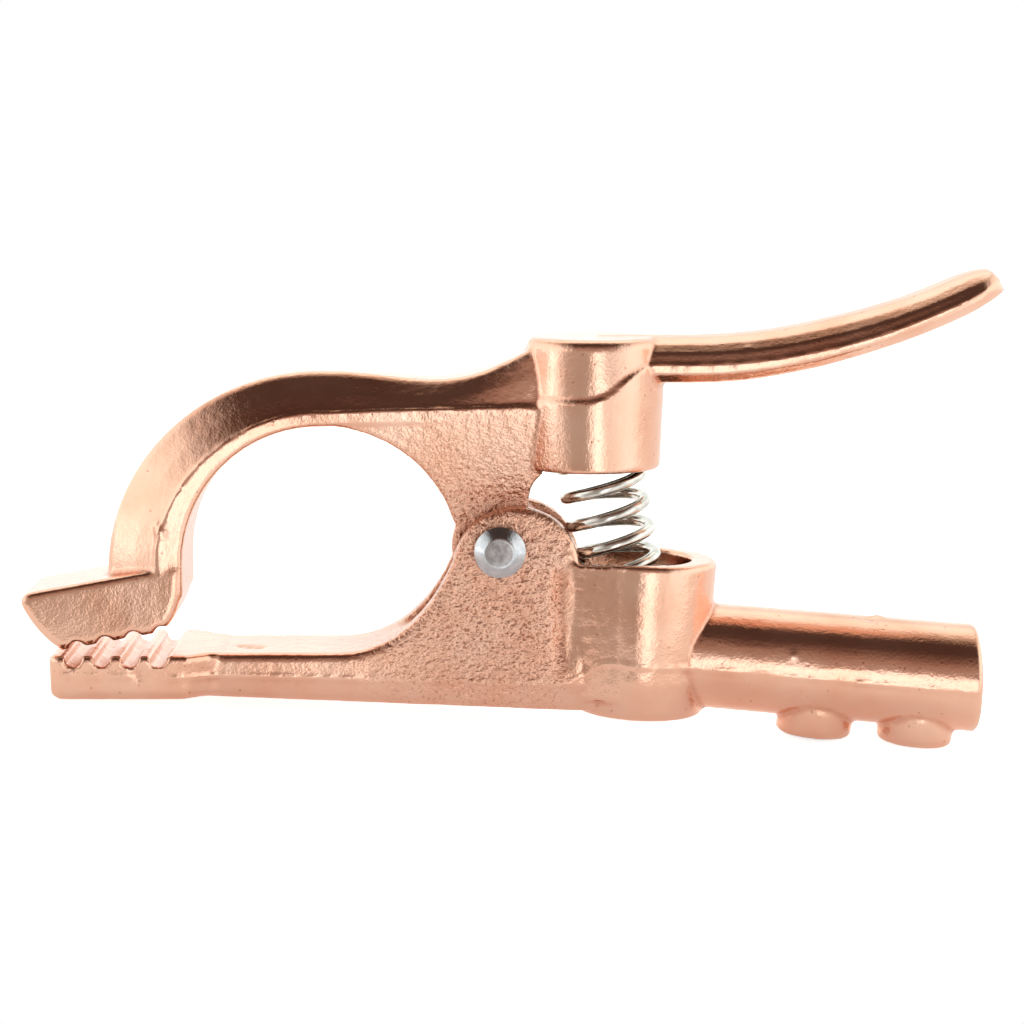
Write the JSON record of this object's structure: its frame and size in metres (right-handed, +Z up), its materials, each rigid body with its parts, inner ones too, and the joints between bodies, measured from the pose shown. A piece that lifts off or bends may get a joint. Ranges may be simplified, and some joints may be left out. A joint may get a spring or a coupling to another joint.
{
  "type": "ground clamp",
  "caption": "Spring-loaded cast copper-alloy welding ground clamp with toothed jaws, a riveted pivot, a curved squeeze handle and a screw-clamped cable socket.",
  "frame": {"origin": "centre of the bottom face of the bounding box with the jaws closed", "axes": "+X from the jaw tips towards the mouth of the cable socket, +Y across the clamp along the rivet, +Z up from the lower jaw to the upper one"},
  "size_m": [0.1804, 0.028, 0.0892],
  "materials": {
    "cast_copper": "as-cast copper alloy with a bright copper flash, fine cast grain and parting lines",
    "zinc_plated_steel": "bright zinc plating",
    "spring_steel": "bright plated spring wire",
    "black_oxide_steel": "black oxide"
  },
  "bodies": {
    "lower": {"lower_jaw": "cast_copper", "pivot_rivet": "zinc_plated_steel", "spring": "spring_steel"},
    "upper": {"upper_jaw": "cast_copper"},
    "inner_screw": {"set_screw_inner": "black_oxide_steel"},
    "outer_screw": {"set_screw_outer": "black_oxide_steel"}
  },
  "joints": [
    {"name": "jaw_pivot", "type": "hinge", "parent": "lower", "child": "upper", "pos_m": [-0.0023, 0, 0.0381], "axis": [0, 1, 0], "range_deg": [0, 27], "stiffness_Nm_per_rad": 3, "springref_deg": -42.97, "deforming": ["spring"]},
    {"name": "inner_screw_travel", "type": "slide", "parent": "lower", "child": "inner_screw", "axis": [0.0872, 0, 0.9962], "range_m": [-0.002, 0.005]},
    {"name": "outer_screw_travel", "type": "slide", "parent": "lower", "child": "outer_screw", "axis": [0.0872, 0, 0.9962], "range_m": [-0.002, 0.005]}
  ]
}
